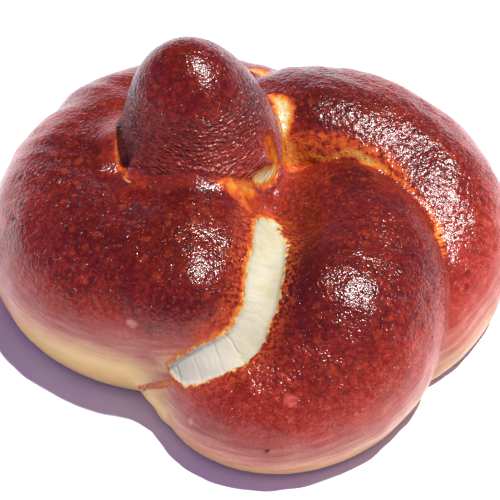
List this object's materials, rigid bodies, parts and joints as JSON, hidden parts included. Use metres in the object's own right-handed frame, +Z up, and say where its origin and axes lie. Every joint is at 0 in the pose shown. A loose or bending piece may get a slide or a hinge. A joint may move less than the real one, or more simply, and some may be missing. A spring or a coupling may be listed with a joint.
{
  "type": "pretzel roll",
  "caption": "Glossy brown lye roll tied from one strand of dough: swollen lobes wrapped round a nub that stands up in the middle, with a pale stretched seam in front.",
  "frame": {"origin": "middle of the flat underside, where the roll lies on a table", "axes": "+Z up, out of the nub; -Y towards the pale seam and the front lobe; +X to the right lobe as seen from the front"},
  "size_m": [0.0988, 0.0958, 0.0454],
  "materials": {
    "crust": "glossy, mahogany to orange browned lye crust with pale cream skin low down and pale torn seams"
  },
  "bodies": {
    "root": {"pretzel_roll": "crust"}
  },
  "joints": []
}
